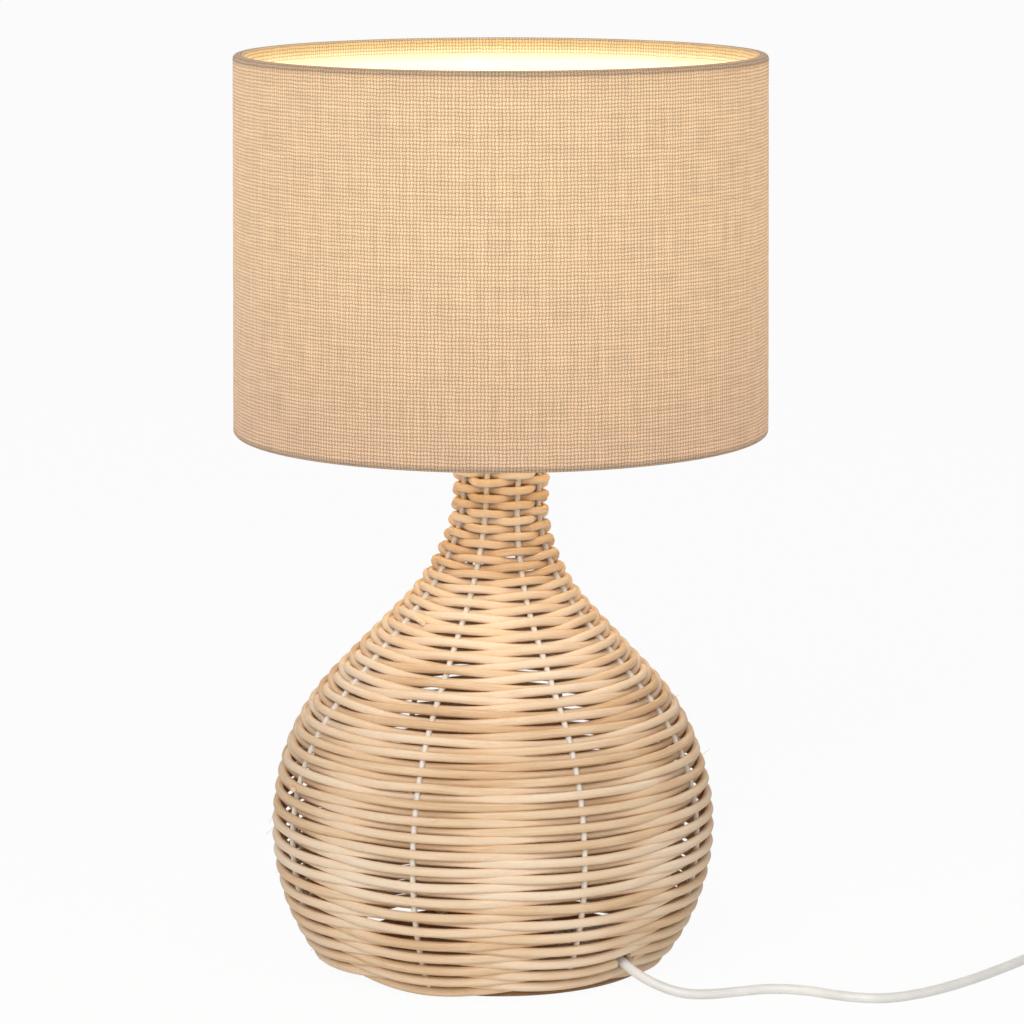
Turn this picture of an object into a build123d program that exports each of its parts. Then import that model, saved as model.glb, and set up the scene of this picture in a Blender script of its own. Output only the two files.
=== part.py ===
from build123d import *
import os
from math import atan2, cos, degrees, pi, radians, sin, sqrt, tan

# Table lamp: a bulb-shaped wicker body woven on eight steel rods, a fabric drum shade on a
# screw-in lamp holder, and a mains lead with an in-line rocker switch.
# Millimetres. Origin on the table under the axis, +Z up, front of the lamp towards -Y.
# Angles round the axis ("turn") are counted from the front towards +X.

# Clearances
seat_gap = 0.1        # faces that rest on each other and can turn
turn_gap = 0.4        # radial gap of a piece that turns on or in another
weave_gap = 0.15      # a strand to the rod that it passes
cloth_gap = 0.15      # layers of the shade to each other
screw_gap = 0.2       # a screw shank to its hole
cord_gap = 0.2        # cord to the hole or groove that it lies in

# Foot
felt_t = 2.0
felt_inset = 2.0      # felt edge inside the plate edge
plate_t = 2.0
plate_inset = 3.0     # plate edge inside the bend of the rods

# Frame rods, as radius and height of their centre line
rod_d = 4.0
rod_count = 8
rod_turn = -20.5      # turn of the first rod
foot_reach = 26.0     # flat end of a rod on the plate
foot_bend = 8.0       # bend from the flat end into the belly
belly_r = 122.3
belly_z = 80.0        # height of the widest place
belly_arc = 116.8     # radius of the belly in profile
shoulder_slope = 43.3  # how far the shoulder leans in from upright, degrees
flare_arc = 96.6      # hollow curve from the shoulder into the neck
neck_r = 24.6
neck_top = 294.4      # underside of the neck plate
neck_plate_t = 2.0
neck_plate_rim = 0.9  # neck plate past the rods

# Weave: plain over-one-under-one rows of round rattan core
strand_d = 4.0
row_pitch = 4.4       # along the profile
first_row = 4.0       # from the start of the foot bend
top_row_gap = 0.4     # last row to the neck plate
seam_at = 0.1         # where a row's ends meet, as a share of the way from rod to mid-span
seam_gap = 0.4
band_tops = {"foot_weave": 45.0, "belly_weave": 128.0, "shoulder_weave": 214.0, "neck_weave": neck_top}

# Way out of the cord: two rows are cut and end beside it
cord_d = 5.5
exit_turn = 42.0
exit_row = 2          # lower one of the two cut rows
exit_side_gap = 2.8   # cut strand end to the cord
exit_stub = 0.5       # cord standing out of the weave
exit_slope = 20.0     # how far the cord points down there, degrees
exit_run = 8.0        # straight cord after it

# Cord grip on the plate
grip_r = 66.0         # its distance from the axis
cord_bend_r = 84.0    # where the cord leaves the level of the grip
drop_z = 75.0         # height where the cord leaves the axis
sweep_r = 36.0        # where it comes level with the grip
grip_l = 12.0
grip_w = 26.0
grip_bridge_h = 6.0
grip_screw_d = 3.2
grip_screw_span = 18.0
grip_head_d = 6.0
grip_head_h = 2.2

# Threaded tube that holds the lamp holder on the neck plate
nipple_d = 10.0
nipple_bore = 7.2
nipple_low = 10.0     # below the neck plate
nipple_high = 8.0     # above the neck plate
washer_d = 20.0
washer_t = 1.6
nut_af = 14.0
nut_h = 4.5

# Lamp holder
cap_r = 21.5
cap_foot_r = 15.0
cap_h = 22.0
cap_wall = 2.5
cap_floor = 3.0
cap_ledge = 1.5       # ledge that carries the insert
insert_lip = 3.0
insert_r = 15.0
insert_h = 10.0
skirt_h = 2.0
flange_r = 26.0
flange_t = 3.0
barrel_r = 19.6
barrel_wall = 2.4
barrel_h = 37.0       # above the flange
sleeve_t = 0.6
sleeve_h = 25.0
tongue_w = 6.0
tongue_l = 9.0
tongue_t = 0.8
tongue_rise = 2.6
terminal_r = 9.0      # distance of a terminal screw from the axis
terminal_d = 5.2
terminal_h = 4.0
core_d = 2.2
core_pitch = 2.8
core_bend = 1.6
core_run = 2.2        # straight start and end of a core

# Bulb
bulb_cap_r = 12.9
bulb_cap_h = 23.0
bulb_contact_r = 4.8
bulb_contact_h = 1.2
collar_foot_r = 13.4
collar_top_r = 27.0
collar_h = 31.0
globe_r = 30.0
globe_h = 54.0

# Shade
shade_r = 150.0       # outside, bottom edge
shade_top_r = 148.0   # outside, top edge
shade_h = 211.0
fabric_t = 0.8
liner_t = 0.4
hem_h = 9.0           # fabric folded over a wire ring to the inside
hem_bend = 2.4
wire_d = 4.0
arm_count = 3
arm_turn = 60.0
arm_flat_r = 52.0     # the arms leave the level of the bottom ring here
arm_bend = 14.0
arm_end_bend = 8.0
arm_end_l = 4.0       # straight end of an arm at the fitter ring
fitter_rise = 18.15   # fitter ring above the bottom ring
fitter_r = 27.0
fitter_t = 2.0
ring_nut_r = 25.0
ring_nut_h = 10.0
ring_nut_flange_r = 26.0
ring_nut_flange_t = 2.5
ring_nut_ribs = 16
ring_nut_rib_d = 2.0

# In-line switch, lying beside the lamp with its length along Y
cord_lift = 0.1       # free cord above the table
switch_x = 333.0
switch_y = 82.0
switch_l = 60.0
switch_w = 26.0
switch_h = 17.0
switch_axis = 6.5     # height of the cord through it, and of the split between its halves
switch_wall = 2.0
switch_edge = 2.5
cord_in = 6.0         # cord end inside the switch
cord_out = 6.0        # straight cord at the switch's far end
rocker_l = 23.2
rocker_w = 10.0
rocker_tilt = 8.0     # each way from level
rocker_pivot = 12.2   # height of its pins
rocker_keel = 3.0     # below the pins
rocker_saddle = 4.2   # middle of its top above the pins
pin_d = 3.0
pin_l = 2.2
pin_gap = 0.1
ear_l = 7.0
ear_t = 2.4
ear_drop = 2.6        # below the pins
window_gap = 0.5      # rocker to the opening round it
boss_d = 6.5
boss_x = 17.0         # screw places, from the middle of the switch
boss_y = 7.5
switch_screw_d = 2.6
switch_head_d = 4.6
switch_head_h = 1.6
strip_l = 12.0
strip_w = 4.0
strip_t = 0.8
strip_h = 4.0
strip_x = 14.0

# Put-away coil
coil_x = 372.0
coil_y = 165.0
coil_r = 39.0         # where the cord comes in
coil_half_turns = 6   # in each of the two layers
coil_pitch = 6.0      # turn to turn
coil_layer = 6.0      # layer to layer
climb_in = 1.0        # how much tighter the half turn between the layers is
climb_out = 4.0       # how much wider the next half turn is
coil_join = 5.5       # straight cord before the first turn and after the last
coil_lead = 16.5      # straight cord on the table before that
coil_leave = 11.0     # straight cord on top after it
tie_t = 1.0
tie_w = 5.0
tie_gap = 0.3
tie_bend = 3.0
coil_samples = 2000   # points along the coil for the tie's width

# Plug
plug_w = 35.3
plug_h = 13.7
plug_l = 38.0
plug_waist_w = 13.0
plug_waist_h = 11.0
plug_shoulder = 24.0  # length at full width
plug_edge = 5.0
boot_l = 20.0
boot_d = 8.6
boot_end = 118.0      # Y of the end of the boot where the cord goes in
plug_side = 1.5       # plug beside the cord that leaves the coil
plug_cord = 12.1      # straight cord before the boot
plug_pin_d = 4.0
plug_pin_l = 19.0
plug_pin_span = 18.6
plug_pin_tip = 1.2

# Values that follow from the sizes above
cord_r = cord_d / 2
rod_r = rod_d / 2
strand_r = strand_d / 2
weave_offset = rod_r + strand_r + weave_gap
plate_top = felt_t + plate_t
rod_step = 360 / rod_count
lie_z = cord_lift + cord_r


# Helpers

def round_way(turn):
    """Outward direction at an angle round the axis."""
    return Vector(sin(radians(turn)), -cos(radians(turn)), 0)


def along_way(turn):
    """Direction round the axis at that angle."""
    return Vector(cos(radians(turn)), sin(radians(turn)), 0)


def radial_plane(turn):
    """Plane through the axis: local x points outwards, local y upwards."""
    out = round_way(turn)
    return Plane(origin=(0, 0, 0), x_dir=out, z_dir=out.cross(Vector(0, 0, 1)))


def tube(r_out, r_in, z_low, z_high):
    ring = Circle(r_out) - Circle(r_in) if r_in else Circle(r_out)
    return extrude(Pos(0, 0, z_low) * ring, z_high - z_low)


def turned(points):
    """Solid of revolution of a closed outline of (radius, height) points."""
    return revolve(Plane.XZ * make_face(Polyline(*points, close=True)), Axis.Z)


def swept(path, diameter):
    start = Plane(origin=path @ 0, z_dir=path % 0)
    return sweep(start * Circle(diameter / 2), path=path)


def biarc(p0, t0, p1, t1):
    """Two arcs, tangent to each other, from one point and direction to another."""
    v = p1 - p0
    k = 2 * (1 - t0.dot(t1))
    vt = v.dot(t0 + t1)
    d = (sqrt(vt * vt + k * v.dot(v)) - vt) / k
    joint = (p0 + p1 + (t0 - t1) * d) * 0.5
    way = ((p1 - t1 * d) - (p0 + t0 * d)).normalized()
    return [Edge.make_tangent_arc(p0, t0, joint), Edge.make_tangent_arc(joint, way, p1)]


def corner_radii(points):
    """Largest even arcs for a cord's corners: 0.45 of the shorter run over tan of half the turn."""
    runs = [b - a for a, b in zip(points, points[1:])]
    radii = []
    for a, b in zip(runs, runs[1:]):
        radii.append(0.45 * min(a.length, b.length) / tan(radians(a.get_angle(b)) / 2))
    return radii


def cord_tube(name, points, diameter=None):
    """Cord along straight runs and tangent arcs, with its radii and volume told."""
    size = diameter or cord_d
    points = [Vector(*p) for p in points]
    radii = corner_radii(points)
    path = FilletPolyline(*points, radius=radii)
    solid = swept(path, size)
    expected = path.length * pi * size * size / 4
    print(name, "length", round(path.length, 1), "radii", [round(r, 1) for r in radii])
    print(name, "volume over section times length", round(solid.volume / expected, 5))
    return solid


# Profile of a frame rod in (radius, height), from its flat foot to the neck plate

foot_z = plate_top + seat_gap + rod_r
belly_c = Vector(belly_r - belly_arc, belly_z)
bend_reach = belly_arc - foot_bend
bend_c = Vector(0, foot_z + foot_bend)
bend_c = Vector(belly_c.X + sqrt(bend_reach ** 2 - (bend_c.Y - belly_c.Y) ** 2), bend_c.Y)
foot_angle = degrees(atan2(bend_c.Y - belly_c.Y, bend_c.X - belly_c.X))
lean = Vector(cos(radians(shoulder_slope)), sin(radians(shoulder_slope)))
belly_end = belly_c + lean * belly_arc
flare_x = neck_r + flare_arc
flare_c = Vector(flare_x, (belly_end.dot(lean) + flare_arc - flare_x * lean.X) / lean.Y)
flare_start = flare_c - lean * flare_arc

foot_line = Edge.make_line((bend_c.X - foot_reach, foot_z), (bend_c.X, foot_z))
foot_arc = CenterArc(bend_c, foot_bend, -90, foot_angle + 90).edge()
belly_curve = CenterArc(belly_c, belly_arc, foot_angle, shoulder_slope - foot_angle).edge()
shoulder_line = Edge.make_line(belly_end, flare_start)
flare_curve = CenterArc(flare_c, flare_arc, 180 + shoulder_slope, -shoulder_slope).edge()
neck_line = Edge.make_line((neck_r, flare_c.Y), (neck_r, neck_top - seat_gap))
profile = Wire([foot_line, foot_arc, belly_curve, shoulder_line, flare_curve, neck_line])

plate_r = bend_c.X - plate_inset


def profile_at(length):
    """Point and outward normal of the rod circle at a length along the profile."""
    point = profile.position_at(length, PositionMode.LENGTH)
    way = profile.tangent_at(length, PositionMode.LENGTH)
    return Vector(point.X, point.Y), Vector(way.Y, -way.X)


def frame_rod(number):
    turn = rod_turn + number * rod_step
    return swept(radial_plane(turn).location * profile, rod_d)


# Weave

row_start = foot_reach + first_row
row_end = profile.length + seat_gap - strand_r - top_row_gap
row_count = int((row_end - row_start) / row_pitch) + 1
rows = [profile_at(row_start + k * row_pitch) for k in range(row_count)]
exit_point = (rows[exit_row][0] + rows[exit_row + 1][0]) * 0.5
exit_fall = tan(radians(exit_slope))
exit_reach = strand_r + exit_stub
exit_end = exit_point + Vector(exit_reach, -exit_reach * exit_fall)
grip_z = exit_point.Y + (exit_point.X - cord_bend_r) * exit_fall


def row_arcs(number):
    """Arcs of one full row: outside one rod, inside the next, and so on round."""
    centre, normal = rows[number]
    stops = []
    for j in range(rod_count + 1):
        turn = rod_turn + j * rod_step
        side = 1 if (j + number) % 2 == 0 else -1
        spot = centre + normal * (side * weave_offset)
        stops.append((round_way(turn) * spot.X + Vector(0, 0, spot.Y), along_way(turn)))
    arcs = []
    for (p0, t0), (p1, t1) in zip(stops, stops[1:]):
        arcs += biarc(p0, t0, p1, t1)
    return arcs


def woven_row(number):
    """One strand all the way round, open where its ends meet or where the cord goes through."""
    arcs = row_arcs(number)
    if number in (exit_row, exit_row + 1):
        rods_on = (exit_turn - rod_turn) / rod_step
        first = 2 * int(rods_on)
        middle = rods_on % 1 * 2
        half = (cord_r + exit_side_gap) / arcs[first].length
        low, high = middle - half, middle + half
    else:
        back_rod = rod_count // 2 + (number + rod_count // 2 + 1) % 2
        first = 2 * back_rod
        low, high = seam_at, seam_at + seam_gap / arcs[first].length
    path = [arcs[first].trim(high, 1.0)]
    path += arcs[first + 1:] + arcs[:first]
    path.append(arcs[first].trim(0.0, low))
    return swept(Wire(path), strand_d)


def weave_band(name):
    """Rows between the top of the band below and this band's own top."""
    names = list(band_tops)
    low = band_tops[names[names.index(name) - 1]] if name != names[0] else 0.0
    numbers = [k for k in range(row_count) if low <= rows[k][0].Y < band_tops[name]]
    print(name, "rows", len(numbers))
    return [woven_row(k) for k in numbers]


# Foot, neck plate and cord grip

felt_pad = tube(plate_r - felt_inset, 0, 0, felt_t)
base_plate = tube(plate_r, 0, felt_t, plate_top)
nipple_hole = nipple_d / 2 + screw_gap
neck_plate_top = neck_top + neck_plate_t
neck_plate = tube(neck_r + rod_r + neck_plate_rim, nipple_hole, neck_top, neck_plate_top)

grip_place = radial_plane(exit_turn).location * Pos(grip_r, 0, 0) * Rot(-90, 0, 0)


def grip_half(z_low, z_high):
    """Half of the cord grip: a block with a groove for the cord and two screw holes."""
    block = Pos(0, 0, z_low) * extrude(Rectangle(grip_l, grip_w), z_high - z_low)
    block = fillet(block.edges().filter_by(Axis.Z), grip_l / 4)
    groove = Pos(0, 0, grip_z) * Rot(0, 90, 0) * Cylinder(cord_r + cord_gap, 2 * grip_l)
    hole = Circle(grip_screw_d / 2 + screw_gap)
    holes = Sketch() + GridLocations(0, grip_screw_span, 1, 2) * hole
    return block - groove - extrude(Pos(0, 0, z_low) * holes, z_high - z_low)


def grip_screw(y):
    head_z = grip_z + grip_bridge_h
    shank = extrude(Pos(0, y, plate_top) * Circle(grip_screw_d / 2), head_z - plate_top)
    head = extrude(Pos(0, y, head_z) * Circle(grip_head_d / 2), grip_head_h)
    return shank + head


grip_base = grip_place * grip_half(plate_top, grip_z - cord_gap)
grip_bridge = grip_place * grip_half(grip_z, grip_z + grip_bridge_h)
grip_screws = [grip_place * grip_screw(side * grip_screw_span / 2) for side in (-1, 1)]

# Threaded tube, washer and nut

nipple_top = neck_plate_top + nipple_high
threaded_nipple = tube(nipple_d / 2, nipple_bore / 2, neck_top - nipple_low, nipple_top)
washer_z = neck_top - washer_t
nipple_washer = tube(washer_d / 2, nipple_hole, washer_z, neck_top)
nut_face = RegularPolygon(nut_af / 2, 6, major_radius=False) - Circle(nipple_hole)
nipple_nut = extrude(Pos(0, 0, washer_z - nut_h) * nut_face, nut_h)

# Lamp holder

holder_z = neck_plate_top
body_z = holder_z + cap_h
ledge_z = body_z - insert_lip
cap_in = cap_r - cap_wall
cap_ledge_r = cap_in - cap_ledge
cap_turn_z = holder_z + (cap_r - cap_foot_r)
holder_cap = turned([
    (nipple_hole, holder_z),
    (cap_foot_r, holder_z),
    (cap_r, cap_turn_z),
    (cap_r, body_z),
    (cap_in, body_z),
    (cap_in, ledge_z),
    (cap_ledge_r, ledge_z),
    (cap_ledge_r, cap_turn_z + cap_floor),
    (cap_foot_r - cap_wall, holder_z + cap_floor),
    (nipple_hole, holder_z + cap_floor),
])

flange_z = body_z + skirt_h
seat_z = flange_z + flange_t
barrel_in = barrel_r - barrel_wall
barrel_top = seat_z + barrel_h
holder_body = turned([
    (barrel_in, body_z),
    (cap_r, body_z),
    (cap_r, flange_z),
    (flange_r, flange_z),
    (flange_r, seat_z),
    (barrel_r, seat_z),
    (barrel_r, barrel_top),
    (barrel_in, barrel_top),
])

insert_top = body_z + insert_h
holder_insert = tube(cap_in - screw_gap, 0, ledge_z, body_z) + tube(insert_r, 0, body_z, insert_top)
sleeve_in = bulb_cap_r + turn_gap
thread_sleeve = tube(sleeve_in + sleeve_t, sleeve_in, insert_top, insert_top + sleeve_h)

tongue_outline = [
    (-tongue_l / 2, 0),
    (tongue_l / 2, 0),
    (tongue_l / 2, tongue_t),
    (-tongue_l / 2 + tongue_rise, tongue_t),
    (tongue_l / 2, tongue_rise - tongue_t),
    (tongue_l / 2, tongue_rise),
    (-tongue_l / 2, tongue_t),
]
tongue_face = Plane.XZ * make_face(Polyline(*tongue_outline, close=True))
centre_contact = Pos(0, 0, insert_top) * extrude(tongue_face, tongue_w / 2, both=True)
terminal_z = ledge_z - terminal_h
terminal_screws = [
    extrude(Pos(side * terminal_r, 0, terminal_z) * Circle(terminal_d / 2), terminal_h)
    for side in (-1, 1)
]


def core_wire(side):
    """Copper core from the end of the cord to its terminal screw."""
    start_x = side * core_pitch / 2
    points = [
        (start_x, 0, nipple_top),
        (start_x, 0, nipple_top + core_run),
        (side * terminal_r, 0, terminal_z - core_run),
        (side * terminal_r, 0, terminal_z),
    ]
    return swept(FilletPolyline(*points, radius=core_bend), core_d)


core_wires = [core_wire(side) for side in (-1, 1)]

# Cord inside the body, from the holder down the axis, through the grip and out of the weave

inner_points = [
    (0, nipple_top),
    (0, drop_z),
    (sweep_r, grip_z),
    (cord_bend_r, grip_z),
    (exit_end.X, exit_end.Y),
]
inner_plane = radial_plane(exit_turn)
inner_route = [inner_plane.from_local_coords((r, z, 0)) for r, z in inner_points]
inner_cord = cord_tube("inner_cord", inner_route)

# Bulb

contact_z = insert_top + tongue_rise + turn_gap
bulb_cap_z = contact_z + bulb_contact_h
collar_z = bulb_cap_z + bulb_cap_h
globe_z = collar_z + collar_h
globe_top = globe_z + globe_h
bulb_contact = tube(bulb_contact_r, 0, contact_z, bulb_cap_z)
bulb_cap = tube(bulb_cap_r, 0, bulb_cap_z, collar_z)
bulb_collar = turned([(0, collar_z), (collar_foot_r, collar_z), (collar_top_r, globe_z), (0, globe_z)])
globe_mid = globe_top - globe_r
globe_outline = [
    Line((0, globe_z), (collar_top_r, globe_z)),
    TangentArc((globe_r, globe_mid), (collar_top_r, globe_z), tangent=(0, -1)),
    CenterArc((0, globe_mid), globe_r, 0, 90),
    Line((0, globe_top), (0, globe_z)),
]
bulb_globe = revolve(Plane.XZ * make_face(Wire([piece.edge() for piece in globe_outline])), Axis.Z)

# Shade, carried by the fitter ring on the holder's flange

wire_r = wire_d / 2
fitter_z = seat_z + seat_gap
arm_top = fitter_z + fitter_t / 2
ring_z = arm_top - fitter_rise
shade_z = ring_z - wire_r - cloth_gap - fabric_t
shade_top = shade_z + shade_h
wire_in = fabric_t + cloth_gap + liner_t + cloth_gap + wire_r
fold_in = wire_in + wire_r + cloth_gap + fabric_t


def wall(inset, z):
    """Point of the shade's wall at a depth from its outside and a height."""
    share = (z - shade_z) / shade_h
    return (shade_r + (shade_top_r - shade_r) * share - inset, z)


def wall_face(inset_out, inset_in, z_low, z_high):
    corners = [wall(inset_out, z_low), wall(inset_out, z_high), wall(inset_in, z_high), wall(inset_in, z_low)]
    return make_face(Polyline(*corners, close=True))


def rounded(face, radius):
    return fillet(face.vertices(), radius)


cloth = rounded(wall_face(0, fold_in, shade_z, shade_top), hem_bend)
inside = wall_face(fabric_t, fold_in - fabric_t, shade_z + fabric_t, shade_top - fabric_t)
cloth -= rounded(inside, hem_bend - fabric_t)
cloth -= wall_face(fold_in - 2 * fabric_t, fold_in + fabric_t, shade_z + hem_h, shade_top - hem_h)
shade_fabric = revolve(Plane.XZ * cloth, Axis.Z)
liner_out = fabric_t + cloth_gap
liner_low = shade_z + hem_bend
liner_high = shade_top - hem_bend
liner_face = wall_face(liner_out, liner_out + liner_t, liner_low, liner_high)
shade_liner = revolve(Plane.XZ * liner_face, Axis.Z)
top_ring_z = shade_top - fabric_t - cloth_gap - wire_r
shade_top_ring = Pos(0, 0, top_ring_z) * Torus(wall(wire_in, top_ring_z)[0], wire_r)
bottom_ring_r = wall(wire_in, ring_z)[0]
shade_bottom_ring = Pos(0, 0, ring_z) * Torus(bottom_ring_r, wire_r)


def shade_arm(number, diameter):
    """Arm from the bottom ring inwards and up to the fitter ring."""
    points = [
        (bottom_ring_r - wire_r - seat_gap, ring_z),
        (arm_flat_r, ring_z),
        (fitter_r + arm_end_l, arm_top),
        (fitter_r + seat_gap, arm_top),
    ]
    path = FilletPolyline(*points, radius=[arm_bend, arm_end_bend])
    return swept(radial_plane(arm_turn + number * 360 / arm_count).location * path, diameter)


shade_arms = [shade_arm(n, wire_d) for n in range(arm_count)]
for n in range(arm_count):
    shade_fabric -= shade_arm(n, wire_d + 2 * cloth_gap)
fitter_ring = tube(fitter_r, barrel_r + turn_gap, fitter_z, fitter_z + fitter_t)

ring_nut_z = fitter_z + fitter_t + seat_gap
nut_body = tube(ring_nut_r - ring_nut_rib_d, barrel_r + turn_gap, ring_nut_z, ring_nut_z + ring_nut_h)
nut_flange = tube(ring_nut_flange_r, barrel_r + turn_gap, ring_nut_z, ring_nut_z + ring_nut_flange_t)
rib_spots = PolarLocations(ring_nut_r - ring_nut_rib_d, ring_nut_ribs)
rib_row = Sketch() + rib_spots * Circle(ring_nut_rib_d / 2)
shade_ring_nut = nut_body + nut_flange + extrude(Pos(0, 0, ring_nut_z) * rib_row, ring_nut_h)

# Free cord from the lamp to the switch: points chosen along the table

exit_stop = inner_route[-1]
exit_way = (exit_stop - inner_route[-2]).normalized()
lead_start = [exit_stop, exit_stop + exit_way * exit_run]
switch_in = switch_y - switch_l / 2
lead_floor = [
    (83.5, -89.4, 8.6),
    (93.0, -93.0, 5.4),
    (104.5, -94.5, 3.2),
    (119.0, -92.0, lie_z),
    (133.0, -86.5, lie_z),
    (150.0, -81.0, lie_z),
    (169.0, -84.5, lie_z),
    (190.0, -97.5, lie_z),
    (211.0, -102.0, lie_z),
    (235.0, -90.0, lie_z),
    (261.0, -66.5, lie_z),
    (288.0, -35.5, lie_z),
    (312.0, -4.0, lie_z),
    (327.0, 20.0, lie_z),
    (switch_x, 40.0, switch_axis),
    (switch_x, switch_in + cord_in, switch_axis),
]
cord_lead = cord_tube("cord_lead", lead_start + lead_floor)

# In-line switch, drawn with its length along local x

switch_place = Pos(switch_x, switch_y, 0) * Rot(0, 0, 90)
screw_spots = [(boss_x, boss_y), (-boss_x, -boss_y)]
ear_y = rocker_w / 2 + window_gap


def switch_shell(z_low, z_high, floor_low):
    """Half of the housing: rounded outside, hollow inside, with the two cord holes."""
    height = z_high - z_low
    shell = extrude(Pos(0, 0, z_low) * SlotOverall(switch_l, switch_w), height)
    edge = shell.edges().group_by(Axis.Z)[0 if floor_low else -1]
    shell = fillet(edge, switch_edge)
    hollow = SlotOverall(switch_l - 2 * switch_wall, switch_w - 2 * switch_wall)
    shell -= extrude(Pos(0, 0, z_low + switch_wall if floor_low else z_low) * hollow, height - switch_wall)
    bosses = Sketch() + [Pos(x, y) * Circle(boss_d / 2) for x, y in screw_spots]
    shell += extrude(Pos(0, 0, z_low) * bosses, height)
    return shell - Pos(0, 0, switch_axis) * Rot(0, 90, 0) * Cylinder(cord_r + cord_gap, switch_l)


def screw_shape(x, y, gap):
    """Housing screw from below, or the room for it."""
    head = extrude(Pos(x, y, 0) * Circle(switch_head_d / 2 + gap), switch_head_h)
    shank_l = switch_h - switch_wall - switch_head_h
    return head + extrude(Pos(x, y, 0) * Circle(switch_screw_d / 2 + gap), shank_l)


screw_room = Part() + [screw_shape(x, y, screw_gap) for x, y in screw_spots]
switch_base = switch_shell(0, switch_axis, True) - screw_room
rocker_reach = rocker_l / 2
window = extrude(Rectangle(rocker_l + 2 * window_gap, rocker_w + 2 * window_gap), switch_h)
ear_height = switch_h - switch_wall - rocker_pivot + ear_drop
ear_face = Plane.XZ * Pos(0, rocker_pivot - ear_drop + ear_height / 2) * Rectangle(ear_l, ear_height)
ears = Part() + [
    Pos(0, side * (ear_y + ear_t / 2), 0) * extrude(ear_face, ear_t / 2, both=True)
    for side in (-1, 1)
]
pin_hole = Pos(0, 0, rocker_pivot) * Rot(90, 0, 0) * Cylinder(pin_d / 2 + pin_gap, switch_w - 2 * switch_wall)
switch_cover = switch_shell(switch_axis, switch_h, False) + ears - window - pin_hole - screw_room
switch_screws = [screw_shape(x, y, 0) for x, y in screw_spots]

keel_face = Pos(0, -rocker_reach - rocker_keel) * Rectangle(rocker_l, 2 * rocker_reach)
slope = tan(radians(rocker_tilt))
top_face = make_face(Polyline(
    (0, rocker_saddle),
    (rocker_l, rocker_saddle + rocker_l * slope),
    (rocker_l, rocker_l),
    (-rocker_l, rocker_l),
    (-rocker_l, rocker_saddle + rocker_l * slope),
    close=True,
))
rocker_face = Circle(rocker_reach) - keel_face - top_face
rocker_body = extrude(Plane.XZ * rocker_face, rocker_w / 2, both=True)
rocker_pins = Rot(90, 0, 0) * Cylinder(pin_d / 2, rocker_w + 2 * pin_l)
switch_rocker = Pos(0, 0, rocker_pivot) * Rot(0, rocker_tilt, 0) * (rocker_body + rocker_pins)


def contact_strip(side):
    """Brass strip standing on the switch's floor."""
    outline = [
        (0, 0),
        (strip_l, 0),
        (strip_l, strip_t),
        (strip_t, strip_t),
        (strip_t, strip_h),
        (0, strip_h),
    ]
    strip = extrude(Plane.XZ * make_face(Polyline(*outline, close=True)), strip_w / 2, both=True)
    turned_round = Rot(0, 0, 0 if side > 0 else 180)
    return turned_round * Pos(strip_x - strip_l, -boss_y / 2, switch_wall) * strip


switch_contacts = [switch_place * contact_strip(side) for side in (-1, 1)]

# Coil of the length that is put away, clockwise from above: in along the table, out on top

coil_z = cord_lift + tie_t + tie_gap + cord_r
coil_top_z = coil_z + coil_layer


def half_turn(start_x, radius, z, away):
    """Half turn from start_x to the other side, over +Y (away is 1) or back over -Y (-1)."""
    centre = start_x + away * radius
    middle = (centre, coil_y + away * radius, z)
    end = (centre + away * radius, coil_y, z)
    return ThreePointArc((start_x, coil_y, z), middle, end).edge()


def coil_path():
    step = coil_pitch / 2
    x = coil_x - coil_r
    radius = coil_r
    edges = [Edge.make_line((x, coil_y - coil_join, coil_z), (x, coil_y, coil_z))]
    away = 1
    for _ in range(coil_half_turns):
        edges.append(half_turn(x, radius, coil_z, away))
        x += 2 * away * radius
        radius -= step
        away = -away
    radius -= climb_in
    climb_to = x + 2 * away * radius
    heading = Vector(0, away, 0)
    edges += biarc(Vector(x, coil_y, coil_z), heading, Vector(climb_to, coil_y, coil_top_z), heading * -1)
    x = climb_to
    radius += climb_out
    away = -away
    for _ in range(coil_half_turns):
        edges.append(half_turn(x, radius, coil_top_z, away))
        x += 2 * away * radius
        radius += step
        away = -away
    edges.append(Edge.make_line((x, coil_y, coil_top_z), (x, coil_y + away * coil_join, coil_top_z)))
    return Wire(edges)


def least_gap(path, diameter):
    """Smallest free distance of a wound tube to itself, on points along it."""
    step = diameter / 3
    count = int(path.length / step)
    points = [path @ (n / count) for n in range(count + 1)]
    apart = int(2.5 * diameter / step)
    nearest = min(
        (points[i] - points[j]).length
        for i in range(len(points))
        for j in range(i + apart, len(points))
    )
    return nearest - diameter


coil_line = coil_path()
cord_coil = swept(coil_line, cord_d)
coil_volume = coil_line.length * pi * cord_r ** 2
print("cord_coil length", round(coil_line.length, 1), "least gap", round(least_gap(coil_line, cord_d), 2))
print("cord_coil volume over section times length", round(cord_coil.volume / coil_volume, 5))

bridge_start = switch_y + switch_l / 2 - cord_in
coil_in_x = coil_x - coil_r
cord_bridge = cord_tube("cord_bridge", [
    (switch_x, bridge_start, switch_axis),
    (switch_x, bridge_start + cord_in + cord_out, switch_axis),
    (coil_in_x, coil_y - coil_lead - coil_join, coil_z),
    (coil_in_x, coil_y - coil_join, coil_z),
])

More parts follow.
